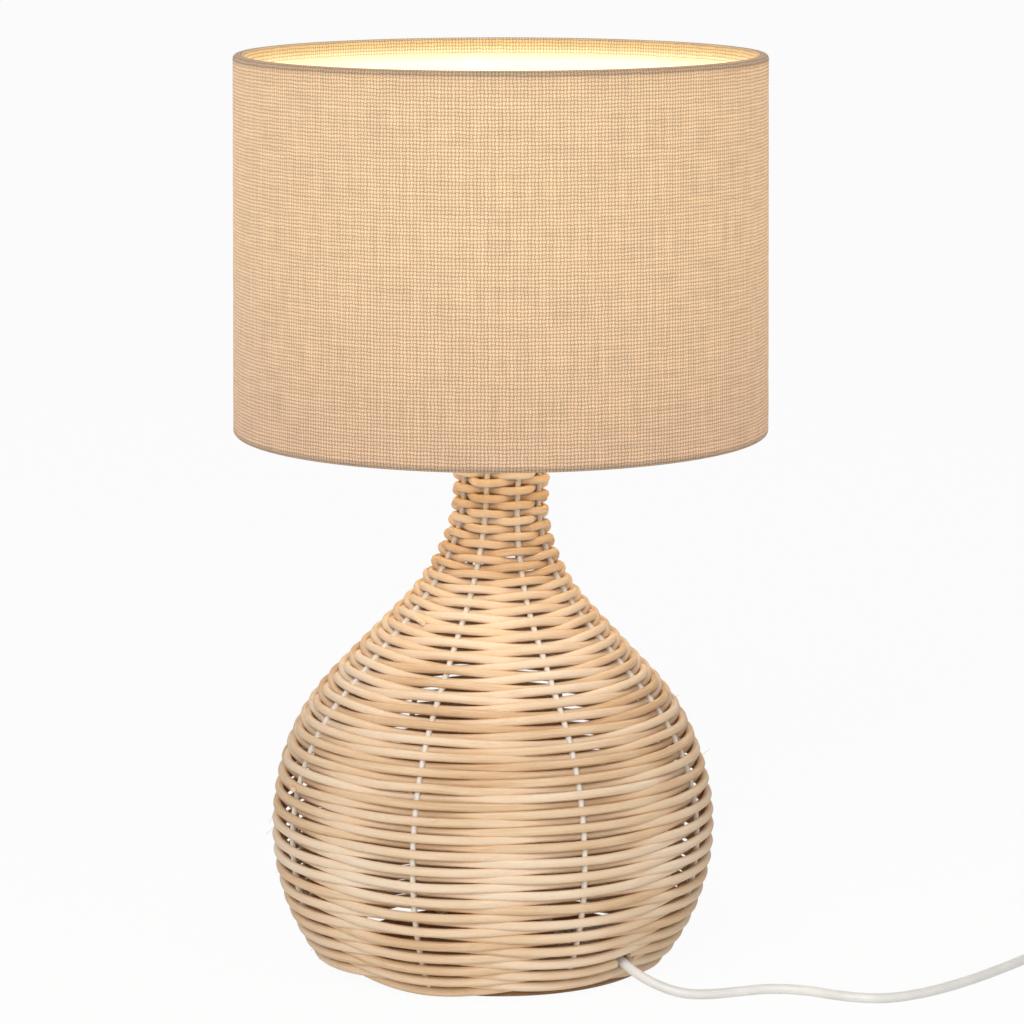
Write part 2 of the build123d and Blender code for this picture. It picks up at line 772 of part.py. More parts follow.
coil_end = coil_line @ 1
coil_spots = [coil_line @ (n / coil_samples) for n in range(coil_samples + 1)]
across = [spot for spot in coil_spots if abs(spot.X - coil_x) < tie_w / 2 and spot.Y > coil_y]
tie_low_y = min(spot.Y for spot in across) - cord_r - tie_gap
tie_high_y = max(spot.Y for spot in across) + cord_r + tie_gap
tie_width = tie_high_y - tie_low_y
tie_height = coil_layer + cord_d + 2 * tie_gap
tie_face = RectangleRounded(tie_width + 2 * tie_t, tie_height + 2 * tie_t, tie_bend + tie_t)
tie_face -= RectangleRounded(tie_width, tie_height, tie_bend)
tie_centre = ((tie_low_y + tie_high_y) / 2, (coil_z + coil_top_z) / 2)
coil_tie = extrude(Plane.YZ * Pos(*tie_centre) * tie_face, tie_w / 2, both=True)
coil_tie = Pos(coil_x, 0, 0) * coil_tie

# Plug lying flat beside the coil, with its pins towards -Y

plug_z = plug_h / 2 + cord_lift
plug_x = coil_end.X + plug_side
cord_tail = cord_tube("cord_tail", [
    coil_end,
    (coil_end.X, coil_end.Y - coil_leave, coil_end.Z),
    (plug_x, boot_end + plug_cord, plug_z),
    (plug_x, boot_end, plug_z),
])


def plug_section(width, height, y, radius):
    place = Plane(origin=(plug_x, y, plug_z), x_dir=(1, 0, 0), z_dir=(0, -1, 0))
    return place * RectangleRounded(width, height, radius)


waist_y = boot_end - boot_l
face_y = waist_y - plug_l
plug_body = loft([
    plug_section(plug_waist_w, plug_waist_h, waist_y, plug_edge),
    plug_section(plug_w, plug_h, face_y + plug_shoulder, plug_edge),
    plug_section(plug_w, plug_h, face_y, plug_edge),
], ruled=True)
boot_plane = Plane(origin=(plug_x, boot_end, plug_z), z_dir=(0, -1, 0))
boot = loft([
    boot_plane * Circle(boot_d / 2),
    boot_plane.offset(boot_l) * Circle(plug_waist_h / 2 - cord_lift),
], ruled=True)
plug_body += boot


def plug_pin(side):
    place = Plane(origin=(plug_x + side * plug_pin_span / 2, face_y, plug_z), z_dir=(0, -1, 0))
    pin = extrude(place * Circle(plug_pin_d / 2), plug_pin_l)
    return fillet(pin.edges().sort_by(Axis.Y)[0], plug_pin_tip)


plug_pins = [plug_pin(side) for side in (-1, 1)]

# One file for each piece, or for each group of like pieces

pieces = {
    "felt_pad": [felt_pad],
    "base_plate": [base_plate],
    "neck_plate": [neck_plate],
    "cord_grip_base": [grip_base],
    "cord_grip_bridge": [grip_bridge],
    "cord_grip_screws": grip_screws,
    "threaded_nipple": [threaded_nipple],
    "nipple_washer": [nipple_washer],
    "nipple_nut": [nipple_nut],
    "holder_cap": [holder_cap],
    "holder_body": [holder_body],
    "holder_insert": [holder_insert],
    "thread_sleeve": [thread_sleeve],
    "centre_contact": [centre_contact],
    "terminal_screws": terminal_screws,
    "core_wires": core_wires,
    "inner_cord": [inner_cord],
    "bulb_contact": [bulb_contact],
    "bulb_cap": [bulb_cap],
    "bulb_collar": [bulb_collar],
    "bulb_globe": [bulb_globe],
    "shade_fabric": [shade_fabric],
    "shade_liner": [shade_liner],
    "shade_top_ring": [shade_top_ring],
    "shade_bottom_ring": [shade_bottom_ring],
    "shade_arms": shade_arms,
    "fitter_ring": [fitter_ring],
    "shade_ring_nut": [shade_ring_nut],
    "cord_lead": [cord_lead],
    "switch_base": [switch_place * switch_base],
    "switch_cover": [switch_place * switch_cover],
    "switch_rocker": [switch_place * switch_rocker],
    "switch_screws": [switch_place * screw for screw in switch_screws],
    "switch_contacts": switch_contacts,
    "cord_bridge": [cord_bridge],
    "cord_coil": [cord_coil],
    "coil_tie": [coil_tie],
    "cord_tail": [cord_tail],
    "plug_body": [plug_body],
    "plug_pins": plug_pins,
}
for number in range(rod_count):
    pieces[f"frame_rod_{number + 1}"] = [frame_rod(number)]
for band in band_tops:
    pieces[band] = weave_band(band)

os.makedirs("parts", exist_ok=True)
for name, shapes in pieces.items():
    solids = [solid for shape in shapes for solid in shape.solids()]
    export_step(solids[0] if len(solids) == 1 else Compound(solids), f"parts/{name}.step")
print("pieces", len(pieces), "shade", round(shade_z, 2), round(shade_top, 2), "rows", row_count)
print("exit", [round(v, 2) for v in exit_stop], "plate", round(plate_r, 2))
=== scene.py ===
import math

import bpy
import numpy as np
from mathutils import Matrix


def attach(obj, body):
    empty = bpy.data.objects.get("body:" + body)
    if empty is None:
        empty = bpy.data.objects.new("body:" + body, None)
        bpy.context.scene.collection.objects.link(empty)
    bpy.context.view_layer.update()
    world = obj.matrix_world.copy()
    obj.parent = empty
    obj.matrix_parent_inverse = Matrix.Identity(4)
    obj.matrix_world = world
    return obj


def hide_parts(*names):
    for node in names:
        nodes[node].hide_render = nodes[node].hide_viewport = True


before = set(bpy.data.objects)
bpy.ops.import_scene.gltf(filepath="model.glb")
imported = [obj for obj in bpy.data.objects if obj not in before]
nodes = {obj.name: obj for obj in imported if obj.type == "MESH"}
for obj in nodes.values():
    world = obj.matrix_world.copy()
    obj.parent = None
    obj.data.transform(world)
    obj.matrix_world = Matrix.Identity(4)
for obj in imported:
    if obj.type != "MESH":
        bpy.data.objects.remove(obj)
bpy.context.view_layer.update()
scene = bpy.context.scene
scene.view_settings.view_transform = "Standard"
print("frame loaded", len(nodes), "nodes")

mm = 0.001

# camera at the photograph's place: no shift, looking down about ten degrees
cameraSet = {"place": (0.0062, -2.3042, 0.65985), "pitch": 80.08, "lens": 145.98, "sensor": 36.0,
             "near": 0.05}


def makeCamera():
    data = bpy.data.cameras.new("photoCamera")
    data.lens = cameraSet["lens"]
    data.sensor_width = cameraSet["sensor"]
    data.clip_start = cameraSet["near"]
    camera = bpy.data.objects.new("photoCamera", data)
    camera.location = cameraSet["place"]
    camera.rotation_euler = (math.radians(cameraSet["pitch"]), 0, 0)
    scene.collection.objects.link(camera)
    scene.camera = camera


makeCamera()
print("camera set")


def colour(code):
    # sRGB hex to linear
    parts = [int(code[i:i + 2], 16) / 255 for i in (1, 3, 5)]
    linear = [c / 12.92 if c <= 0.04045 else ((c + 0.055) / 1.055) ** 2.4 for c in parts]
    return (*linear, 1.0)


def addNode(tree, kind, inputs=None, **settings):
    node = tree.nodes.new(kind)
    for key, value in settings.items():
        setattr(node, key, value)
    for key, value in (inputs or {}).items():
        if isinstance(value, bpy.types.NodeSocket):
            tree.links.new(value, node.inputs[key])
        else:
            node.inputs[key].default_value = value
    return node


def setRamp(node, stops):
    ramp = node.color_ramp
    while len(ramp.elements) > len(stops):
        ramp.elements.remove(ramp.elements[-1])
    while len(ramp.elements) < len(stops):
        ramp.elements.new(1.0)
    for element, (place, shade) in zip(ramp.elements, stops):
        element.position = place
        element.color = colour(shade)


def startMaterial(name):
    material = bpy.data.materials.new(name)
    material.use_nodes = True
    tree = material.node_tree
    tree.nodes.clear()
    shader = addNode(tree, "ShaderNodeBsdfPrincipled")
    addNode(tree, "ShaderNodeOutputMaterial", {"Surface": shader.outputs["BSDF"]})
    return material, tree, shader


# plain finishes: two tones in soft clouds, a fine grain in bump and gloss. Sizes in mm.
finishes = {
    "needledFelt": {"tones": ("#cfab80", "#dcbc94"), "cloud": 1.2, "grain": 0.35, "rough": (0.9, 1.0),
                    "bump": 0.6, "sheen": 0.3},                          # fuzzy, no gloss
    "brownPaintedSteel": {"tones": ("#97693f", "#a57649"), "cloud": 14, "grain": 0.5, "rough": (0.45, 0.6),
                          "bump": 0.08},                                 # thin satin paint
    "whitePaintedRod": {"tones": ("#e6dfd4", "#f3ede3"), "cloud": 9, "grain": 0.7, "rough": (0.38, 0.55),
                        "bump": 0.12},                                   # brushed on, a little uneven
    "nylonGrip": {"tones": ("#cfccc3", "#d8d5cd"), "cloud": 5, "grain": 0.4, "rough": (0.42, 0.52),
                  "bump": 0.05},                                         # moulded, satin
    "zincPlate": {"tones": ("#a9aaa6", "#bdbdb8"), "cloud": 3, "grain": 0.3, "rough": (0.28, 0.42),
                  "bump": 0.06, "metal": 1.0},                           # cool grey, cloudy
    "holderThermoplastic": {"tones": ("#ebe8e0", "#f3f0e9"), "cloud": 12, "grain": 0.6, "rough": (0.25, 0.34),
                            "bump": 0.03},                               # smooth moulding, soft gloss
    "glazedSteatite": {"tones": ("#e6e0d2", "#efeadd"), "cloud": 6, "grain": 0.8, "rough": (0.12, 0.22),
                       "bump": 0.03},                                    # cream, glassy
    "stampedBrass": {"tones": ("#c79b4a", "#d7ae60"), "cloud": 4, "grain": 0.25, "rough": (0.2, 0.34),
                     "bump": 0.05, "metal": 1.0},                        # yellow, lightly drawn
    "bareCopper": {"tones": ("#b06a42", "#c47d52"), "cloud": 2, "grain": 0.2, "rough": (0.22, 0.36),
                   "bump": 0.05, "metal": 1.0},                          # red brown strands
    "rolledAluminium": {"tones": ("#c4c4c1", "#d2d2cf"), "cloud": 3, "grain": 0.25, "rough": (0.26, 0.38),
                        "bump": 0.06, "metal": 1.0},                     # pale screw cap
    "solderedTin": {"tones": ("#9b988f", "#aeaba2"), "cloud": 1.5, "grain": 0.4, "rough": (0.34, 0.5),
                    "bump": 0.15, "metal": 1.0},                         # dull button
    "bulbHousing": {"tones": ("#ece9e2", "#f4f1ea"), "cloud": 10, "grain": 0.5, "rough": (0.34, 0.44),
                    "bump": 0.04},                                       # moulded, satin
    "powderCoatedWire": {"tones": ("#e4e0d6", "#eeeae1"), "cloud": 4, "grain": 0.45, "rough": (0.42, 0.56),
                         "bump": 0.18},                                  # pebbled white coat
    "switchPolycarbonate": {"tones": ("#e9e8e3", "#f1f0ec"), "cloud": 7, "grain": 0.3, "rough": (0.4, 0.5),
                            "bump": 0.07},                               # spark-eroded satin
    "rockerPolycarbonate": {"tones": ("#e2e1dc", "#eceae6"), "cloud": 7, "grain": 0.6, "rough": (0.2, 0.28),
                            "bump": 0.02},                               # polished by fingers
    "nylonTie": {"tones": ("#1f1f20", "#2b2b2c"), "cloud": 3, "grain": 0.4, "rough": (0.38, 0.5),
                 "bump": 0.08},                                          # black, satin
    "plugVinyl": {"tones": ("#e6e5e0", "#efeee9"), "cloud": 6, "grain": 0.35, "rough": (0.42, 0.54),
                  "bump": 0.08},                                         # overmoulded, soft
    "nickelPlate": {"tones": ("#c6c3ba", "#d5d2ca"), "cloud": 3, "grain": 0.25, "rough": (0.14, 0.26),
                    "bump": 0.03, "metal": 1.0},                         # warm bright pins
    "cordVinyl": {"tones": ("#e8e7e2", "#f2f1ed"), "cloud": 18, "grain": 0.8, "rough": (0.32, 0.44),
                  "bump": 0.05},                                         # extruded, faint sheen
}
plainSet = {"cloudEdges": (0.35, 0.65), "grainEdges": (0.3, 0.7), "bumpDepth": 0.1}


def plainFinish(name):
    look = finishes[name]
    material, tree, shader = startMaterial(name)
    place = addNode(tree, "ShaderNodeTexCoord").outputs["Object"]
    cloud = addNode(tree, "ShaderNodeTexNoise",
                    {"Vector": place, "Scale": 1 / (look["cloud"] * mm), "Detail": 3.0})
    grain = addNode(tree, "ShaderNodeTexNoise",
                    {"Vector": place, "Scale": 1 / (look["grain"] * mm), "Detail": 2.0})
    tones = addNode(tree, "ShaderNodeValToRGB", {"Fac": cloud.outputs["Fac"]})
    setRamp(tones, list(zip(plainSet["cloudEdges"], look["tones"])))
    least, most = plainSet["grainEdges"]
    low, high = look["rough"]
    gloss = addNode(tree, "ShaderNodeMapRange", {"Value": grain.outputs["Fac"], "From Min": least,
                                                 "From Max": most, "To Min": low, "To Max": high})
    bump = addNode(tree, "ShaderNodeBump", {"Height": grain.outputs["Fac"], "Strength": look["bump"],
                                            "Distance": plainSet["bumpDepth"] * mm})
    tree.links.new(tones.outputs["Color"], shader.inputs["Base Color"])
    tree.links.new(gloss.outputs["Result"], shader.inputs["Roughness"])
    tree.links.new(bump.outputs["Normal"], shader.inputs["Normal"])
    shader.inputs["Metallic"].default_value = look.get("metal", 0.0)
    shader.inputs["Sheen Weight"].default_value = look.get("sheen", 0.0)
    return material


made = {name: plainFinish(name) for name in finishes}

# rattan core: pale peeled cane, straight fibres along it, browner in blotches and from strand to strand
rattanLook = {"fibreLength": 30.0, "fibresRound": 14.0, "blotch": 55.0, "apart": 40.0,
              "fibreShare": 0.66, "blotchShare": 0.45, "strandShare": 0.3, "darker": -0.245,
              "tones": ((0.2, "#d3ab80"), (0.4, "#ebcba5"), (0.55, "#f4dabb"), (0.75, "#fae8d0")),
              "bump": 0.7, "bumpDepth": 0.3, "rough": (0.5, 0.8)}


def rattanCore():
    look = rattanLook
    material, tree, shader = startMaterial("rattanCore")
    along = addNode(tree, "ShaderNodeAttribute", attribute_name="along").outputs["Fac"]
    around = addNode(tree, "ShaderNodeAttribute", attribute_name="around").outputs["Fac"]
    tone = addNode(tree, "ShaderNodeAttribute", attribute_name="tone").outputs["Fac"]
    # fibres: long along the strand, narrow round it, and different on each strand
    scales = ((along, 1 / (look["fibreLength"] * mm)), (around, look["fibresRound"]), (tone, look["apart"]))
    axes = [addNode(tree, "ShaderNodeMath", {0: part, 1: times}, operation="MULTIPLY").outputs[0]
            for part, times in scales]
    spot = addNode(tree, "ShaderNodeCombineXYZ", dict(enumerate(axes))).outputs[0]
    fibre = addNode(tree, "ShaderNodeTexNoise",
                    {"Vector": spot, "Scale": 1.0, "Detail": 4.0, "Roughness": 0.6}).outputs["Fac"]
    place = addNode(tree, "ShaderNodeTexCoord").outputs["Object"]
    blotch = addNode(tree, "ShaderNodeTexNoise",
                     {"Vector": place, "Scale": 1 / (look["blotch"] * mm), "Detail": 2.0}).outputs["Fac"]
    pale = look["darker"]
    for part, share in ((fibre, "fibreShare"), (blotch, "blotchShare"), (tone, "strandShare")):
        pale = addNode(tree, "ShaderNodeMath", {0: part, 1: look[share], 2: pale},
                       operation="MULTIPLY_ADD").outputs[0]
    tones = addNode(tree, "ShaderNodeValToRGB", {"Fac": pale})
    setRamp(tones, look["tones"])
    bump = addNode(tree, "ShaderNodeBump", {"Height": fibre, "Strength": look["bump"],
                                            "Distance": look["bumpDepth"] * mm})
    low, high = look["rough"]
    rough = addNode(tree, "ShaderNodeMapRange", {"Value": fibre, "To Min": low, "To Max": high})
    tree.links.new(tones.outputs["Color"], shader.inputs["Base Color"])
    tree.links.new(rough.outputs["Result"], shader.inputs["Roughness"])
    tree.links.new(bump.outputs["Normal"], shader.inputs["Normal"])
    return material


# coarse plain-woven linen with a painted glow in its emission, standing in for the bulb's light through the
# cloth: darker over the doubled hem, fading to the bottom edge.
# The glow goes by height outside, from 0 to 0.94, and from 0.97 to 1 over the hems inside.
linenLook = {"thread": 1.9, "stray": 1.1, "strayLength": 6.0, "dip": 0.2,
             "slubLength": 30.0, "slubEdges": (0.7, 1.3), "thickness": (0.82, 1.18), "otherNoise": 7.0,
             "cloth": "#a0927f", "gap": "#5a4c3d", "bump": 0.8, "bumpDepth": 0.4,
             "rough": 0.88, "sheen": 0.15, "gapGlow": (0.42, 1.3), "glowStrength": 1.0,
             "glow": [(0.0, "#7d5f45"), (0.012, "#83654b"), (0.016, "#b58d6b"), (0.235, "#c19a74"),
                      (0.52, "#cba47a"), (0.87, "#cca57b"), (0.922, "#c79f73"), (0.927, "#8b694a"),
                      (0.94, "#8b694a"), (0.97, "#b08a54"), (0.985, "#caa463"), (1.0, "#f3dfae")]}


def paintedGlowLinen():
    look = linenLook
    material, tree, shader = startMaterial("paintedGlowLinen")
    flat = addNode(tree, "ShaderNodeUVMap", uv_map="cloth").outputs["UV"]
    perThread = 1 / (look["thread"] * mm)
    perSlub = 1 / (look["slubLength"] * mm)
    # threads wander a little from their straight lines
    stray = addNode(tree, "ShaderNodeTexNoise",
                    {"Vector": flat, "Scale": 1 / (look["strayLength"] * mm), "Detail": 1.0})
    moved = addNode(tree, "ShaderNodeVectorMath", {0: stray.outputs["Color"], 1: (look["stray"] * mm,) * 3},
                    operation="MULTIPLY").outputs[0]
    cloth = addNode(tree, "ShaderNodeVectorMath", {0: flat, 1: moved}, operation="ADD").outputs[0]
    axes = addNode(tree, "ShaderNodeSeparateXYZ", {0: cloth}).outputs
    # one rounded ridge per thread each way, and in every second square the other thread is on top
    ridges, tops = [], []
    for axis in (axes[0], axes[1]):
        turn = addNode(tree, "ShaderNodeMath", {0: axis, 1: math.pi * perThread},
                       operation="MULTIPLY").outputs[0]
        wave = addNode(tree, "ShaderNodeMath", {0: turn}, operation="SINE").outputs[0]
        ridges.append(addNode(tree, "ShaderNodeMath", {0: wave}, operation="ABSOLUTE").outputs[0])
    for across, lengthwise in (ridges, ridges[::-1]):
        ends = addNode(tree, "ShaderNodeMath", {0: lengthwise, 1: look["dip"], 2: 1 - look["dip"]},
                       operation="MULTIPLY_ADD").outputs[0]
        tops.append(addNode(tree, "ShaderNodeMath", {0: across, 1: ends}, operation="MULTIPLY").outputs[0])
    squares = addNode(tree, "ShaderNodeTexChecker", {"Vector": cloth, "Scale": perThread}).outputs["Fac"]
    woven = addNode(tree, "ShaderNodeMix", {0: squares, 2: tops[0], 3: tops[1]}, data_type="FLOAT").outputs[0]
    # thick and thin stretches of thread, both ways
    streaks = []
    for size, seed in (((perSlub, perThread, 1), 0.0), ((perThread, perSlub, 1), look["otherNoise"])):
        run = addNode(tree, "ShaderNodeMapping", {"Vector": cloth, "Scale": size, "Location": (seed,) * 3})
        streaks.append(addNode(tree, "ShaderNodeTexNoise",
                               {"Vector": run.outputs[0], "Scale": 1.0, "Detail": 2.0}).outputs["Fac"])
    slubs = addNode(tree, "ShaderNodeMath", {0: streaks[0], 1: streaks[1]}, operation="ADD").outputs[0]
    least, most = look["slubEdges"]
    low, high = look["thickness"]
    slubs = addNode(tree, "ShaderNodeMapRange", {"Value": slubs, "From Min": least, "From Max": most,
                                                 "To Min": low, "To Max": high}).outputs["Result"]
    # base colour darker in the gaps and crevices between threads: painted shade
    tones = addNode(tree, "ShaderNodeMix", {0: woven, 6: colour(look["gap"]), 7: colour(look["cloth"])},
                    data_type="RGBA").outputs[2]
    share = addNode(tree, "ShaderNodeAttribute", attribute_name="heightShare").outputs["Fac"]
    glow = addNode(tree, "ShaderNodeValToRGB", {"Fac": share})
    setRamp(glow, look["glow"])
    # painted glow: the height ramp, dimmer in the gaps between threads and varied with the slubs, goes into
    # the emission
    low, high = look["gapGlow"]
    through = addNode(tree, "ShaderNodeMapRange",
                      {"Value": woven, "To Min": low, "To Max": high}).outputs["Result"]
    through = addNode(tree, "ShaderNodeMath", {0: slubs, 1: through}, operation="MULTIPLY").outputs[0]
    lit = addNode(tree, "ShaderNodeMix", {0: 1.0, 6: glow.outputs["Color"], 7: through},
                  data_type="RGBA", blend_type="MULTIPLY").outputs[2]
    bump = addNode(tree, "ShaderNodeBump", {"Height": woven, "Strength": look["bump"],
                                            "Distance": look["bumpDepth"] * mm})
    tree.links.new(tones, shader.inputs["Base Color"])
    tree.links.new(lit, shader.inputs["Emission Color"])
    tree.links.new(bump.outputs["Normal"], shader.inputs["Normal"])
    shader.inputs["Emission Strength"].default_value = look["glowStrength"]
    shader.inputs["Roughness"].default_value = look["rough"]
    shader.inputs["Sheen Weight"].default_value = look["sheen"]
    return material


# opal diffuser: the lit bulb's own light. Lining film: no lamp, its glow is painted light from the bulb
glowLook = {"opalDiffuser": {"tones": ("#f6ead2", "#fff6e4"), "glow": "#ffd9a0", "strength": 14.0,
                             "cloud": 20.0, "rough": 0.4},                # moulded, milky, even
            "liningFilm": {"tones": ("#efe6d2", "#f7f0e0"), "glow": "#ffdcae", "strength": 0.35,
                           "cloud": 30.0, "rough": 0.7}}                  # smooth, matt, cream
glowBump = {"strength": 0.1, "depth": 0.2, "cloudEdges": (0.3, 0.7)}


def glowing(name):
    look = glowLook[name]
    material, tree, shader = startMaterial(name)
    place = addNode(tree, "ShaderNodeTexCoord").outputs["Object"]
    cloud = addNode(tree, "ShaderNodeTexNoise",
                    {"Vector": place, "Scale": 1 / (look["cloud"] * mm), "Detail": 3.0}).outputs["Fac"]
    tones = addNode(tree, "ShaderNodeValToRGB", {"Fac": cloud})
    setRamp(tones, list(zip(glowBump["cloudEdges"], look["tones"])))
    bump = addNode(tree, "ShaderNodeBump", {"Height": cloud, "Strength": glowBump["strength"],
                                            "Distance": glowBump["depth"] * mm})
    tree.links.new(tones.outputs["Color"], shader.inputs["Base Color"])
    tree.links.new(bump.outputs["Normal"], shader.inputs["Normal"])
    shader.inputs["Emission Color"].default_value = colour(look["glow"])
    shader.inputs["Emission Strength"].default_value = look["strength"]
    shader.inputs["Roughness"].default_value = look["rough"]
    return material


made["rattanCore"] = rattanCore()
made["paintedGlowLinen"] = paintedGlowLinen()
made.update({name: glowing(name) for name in glowLook})
print("materials", len(made))

# free cords: the route's own points are the control points
leadRoute = [(70.49, -78.29, 14.58), (75.52, -83.87, 11.84), (83.5, -89.4, 8.6), (93, -93, 5.4),
             (104.5, -94.5, 3.2), (119, -92, 2.85), (133, -86.5, 2.85), (150, -81, 2.85), (169, -84.5, 2.85),
             (190, -97.5, 2.85), (211, -102, 2.85), (235, -90, 2.85), (261, -66.5, 2.85), (288, -35.5, 2.85),
             (312, -4, 2.85), (327, 20, 2.85), (333, 40, 6.5), (333, 58, 6.5)]
cordSet = {"diameter": 5.5, "leadLength": 361.6, "tailLength": 1357.5, "roundness": 6, "steps": 6, "order": 3}
coilSet = {"centre": (372.0, 165.0), "radius": 39.0, "halfTurns": 6, "step": 3.0, "low": 4.15, "high": 10.15,
           "climbIn": 1.0, "climbOut": 4.0, "pointsPerHalf": 12}   # in on the table, up, and out again on top
bridgeRoute = [(333, 106, 6.5), (333, 118, 6.5), (333, 143, 4.15), (333, 159.5, 4.15)]
tailRoute = [(409, 159.5, 10.15), (409, 148.5, 10.15), (410.5, 130.1, 6.95), (410.5, 118, 6.95)]


def halfTurn(startX, radius, away, low, high):
    count = coilSet["pointsPerHalf"]
    reach = radius / math.cos(math.pi / (2 * count))   # so that the curve itself keeps the radius
    middle = startX + away * radius
    points = []
    for n in range(count):
        turn = (n + 0.5) / count * math.pi
        rise = (1 - math.cos(turn)) / 2
        points.append((middle - away * reach * math.cos(turn),
                       coilSet["centre"][1] + away * reach * math.sin(turn), low + (high - low) * rise))
    return points


def coilRoute():
    x = coilSet["centre"][0] - coilSet["radius"]
    radius = coilSet["radius"]
    low, high = coilSet["low"], coilSet["high"]
    away = 1
    points = []
    for _ in range(coilSet["halfTurns"]):
        points += halfTurn(x, radius, away, low, low)
        x += 2 * away * radius
        radius -= coilSet["step"]
        away = -away
    radius -= coilSet["climbIn"]
    points += halfTurn(x, radius, away, low, high)
    x += 2 * away * radius
    radius += coilSet["climbOut"]
    away = -away
    for _ in range(coilSet["halfTurns"]):
        points += halfTurn(x, radius, away, high, high)
        x += 2 * away * radius
        radius += coilSet["step"]
        away = -away
    return points


def cordPiece(name, route, replaced):
    curve = bpy.data.curves.new(name, "CURVE")
    curve.dimensions = "3D"
    curve.bevel_depth = cordSet["diameter"] / 2 * mm
    curve.bevel_resolution = cordSet["roundness"]
    curve.resolution_u = cordSet["steps"]
    curve.use_fill_caps = True
    spline = curve.splines.new("NURBS")
    spline.points.add(len(route) - 1)
    for point, spot in zip(spline.points, route):
        point.co = (spot[0] * mm, spot[1] * mm, spot[2] * mm, 1.0)
    spline.order_u = cordSet["order"]
    spline.use_endpoint_u = True
    curve.materials.append(made["cordVinyl"])
    piece = bpy.data.objects.new(name, curve)
    scene.collection.objects.link(piece)
    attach(piece, "lamp_base")
    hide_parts(*replaced)
    return piece


leadCord = cordPiece("leadCord", leadRoute, ["cord_lead"])
plugCord = cordPiece("plugCord", bridgeRoute + coilRoute() + tailRoute,
                     ["cord_bridge", "cord_coil", "cord_tail"])
print("cords laid")


def tubeTree():
    # strands, rods and loose fibres are all uneven tubes along lines
    tree = bpy.data.node_groups.new("tubeAlongLines", "GeometryNodeTree")
    face = tree.interface
    for name, kind in (("Geometry", "Geometry"), ("Strand radius", "Float"), ("Sides", "Int"),
                       ("Unevenness", "Float"), ("Lumps per metre", "Float"), ("Finish", "Material")):
        face.new_socket(name, in_out="INPUT", socket_type="NodeSocket" + kind)
    face.new_socket("Geometry", in_out="OUTPUT", socket_type="NodeSocketGeometry")
    given = addNode(tree, "NodeGroupInput").outputs
    line = addNode(tree, "GeometryNodeMeshToCurve", {"Mesh": given["Geometry"]}).outputs["Curve"]
    place = addNode(tree, "GeometryNodeInputPosition").outputs[0]
    lumps = addNode(tree, "ShaderNodeTexNoise",
                    {"Vector": place, "Scale": given["Lumps per metre"], "Detail": 2.0}).outputs["Fac"]
    centred = addNode(tree, "ShaderNodeMath", {0: lumps, 1: 0.5}, operation="SUBTRACT").outputs[0]
    scaled = addNode(tree, "ShaderNodeMath", {0: centred, 1: given["Unevenness"], 2: 1.0},
                     operation="MULTIPLY_ADD").outputs[0]
    line = addNode(tree, "GeometryNodeSetCurveRadius", {"Curve": line, "Radius": scaled}).outputs[0]
    ring = addNode(tree, "GeometryNodeCurvePrimitiveCircle",
                   {"Resolution": given["Sides"], "Radius": given["Strand radius"]}).outputs["Curve"]
    share = addNode(tree, "GeometryNodeSplineParameter").outputs["Factor"]
    ring = addNode(tree, "GeometryNodeStoreNamedAttribute",
                   {"Geometry": ring, "Name": "around", "Value": share},
                   data_type="FLOAT", domain="POINT").outputs[0]
    tube = addNode(tree, "GeometryNodeCurveToMesh",
                   {"Curve": line, "Profile Curve": ring, "Fill Caps": True}).outputs[0]
    tube = addNode(tree, "GeometryNodeSetShadeSmooth", {"Geometry": tube}).outputs[0]
    real = addNode(tree, "GeometryNodeRealizeInstances", {"Geometry": tube}).outputs[0]
    done = addNode(tree, "GeometryNodeSetMaterial",
                   {"Geometry": real, "Material": given["Finish"]}).outputs[0]
    addNode(tree, "NodeGroupOutput", {"Geometry": done})
    return tree


tubes = tubeTree()


def tubePiece(name, lines, finish, replaced, sizes):
    verts, edges, along, tone = [], [], [], []
    for points, shade in lines:
        first = len(verts)
        run = np.concatenate([[0], np.cumsum(np.linalg.norm(np.diff(points, axis=0), axis=1))])
        verts += [tuple(p) for p in points]
        along += list(run)
        tone += [shade] * len(points)
        edges += [(first + n, first + n + 1) for n in range(len(points) - 1)]
    mesh = bpy.data.meshes.new(name + "Lines")
    mesh.from_pydata(verts, edges, [])
    for key, values in (("along", along), ("tone", tone)):
        mesh.attributes.new(key, "FLOAT", "POINT").data.foreach_set("value", np.array(values, np.float32))
    piece = bpy.data.objects.new(name, mesh)
    scene.collection.objects.link(piece)
    modifier = piece.modifiers.new("tube", "NODES")
    modifier.node_group = tubes
    values = {"Strand radius": sizes["radius"] * mm, "Sides": sizes["sides"],
              "Unevenness": sizes["unevenness"], "Lumps per metre": 1 / (sizes["lump"] * mm),
              "Finish": made[finish]}
    for item in tubes.interface.items_tree:
        if item.in_out == "INPUT" and item.name in values:
            modifier[item.identifier] = values[item.name]
    graph = bpy.context.evaluated_depsgraph_get()
    solid = bpy.data.meshes.new_from_object(piece.evaluated_get(graph), depsgraph=graph)
    piece.modifiers.clear()
    piece.data = solid
    solid.name = name
    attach(piece, "lamp_base")
    if replaced:
        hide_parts(*replaced)
    print(name, len(lines), "lines", len(solid.polygons), "faces")


# body profile, as radius and height of the rods' centre line, in mm. Trim and lean are by height.
body = {"rodTurn": -20.5, "rods": 8, "footZ": 6.1, "footBend": 8.0, "footReach": 26.0, "bellyR": 122.3,
        "bellyZ": 80.0, "bellyArc": 116.8, "slope": 43.3, "flareArc": 96.6, "neckR": 24.6, "neckTop": 294.3,
        "arcPoints": 60, "trim": 2.0, "trimFrom": 215.0, "trimOver": 50.0,
        "lean": ((10, -5.6), (60, -5.0), (172, -4.6), (200, -3.8), (250, -1.0), (295, 1.0))}
rodTube = {"radius": 1.65, "sides": 14, "unevenness": 0.05, "lump": 20.0}
